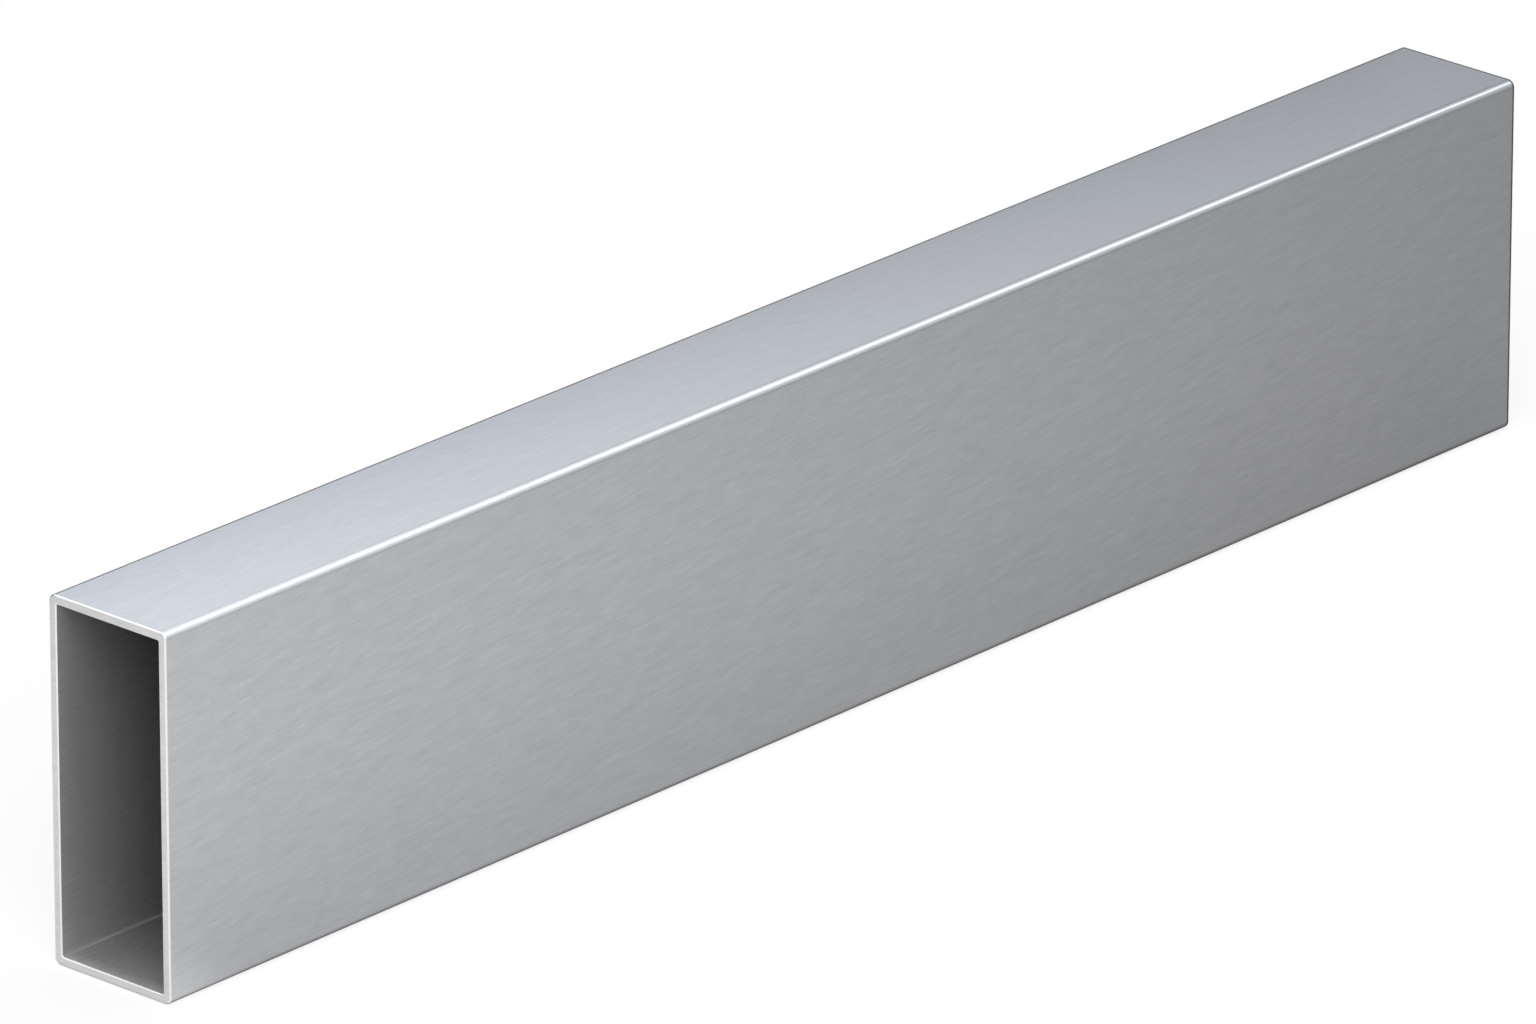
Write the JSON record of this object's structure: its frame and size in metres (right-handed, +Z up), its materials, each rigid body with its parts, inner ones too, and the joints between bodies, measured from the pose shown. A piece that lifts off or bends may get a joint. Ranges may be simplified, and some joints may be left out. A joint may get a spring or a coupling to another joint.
{
  "type": "aluminium post",
  "caption": "Straight post of rectangular hollow aluminium section, with thin even walls, softly rounded long edges and square-cut, deburred, open ends.",
  "frame": {"origin": "middle of the narrow long face that the post lies on", "axes": "+X along the post's length, +Y across its narrow width, +Z up, across its tall side"},
  "size_m": [0.52, 0.04, 0.1],
  "materials": {
    "aluminium": "mill finish, finely brushed along the length"
  },
  "bodies": {
    "root": {"post": "aluminium"}
  },
  "joints": []
}
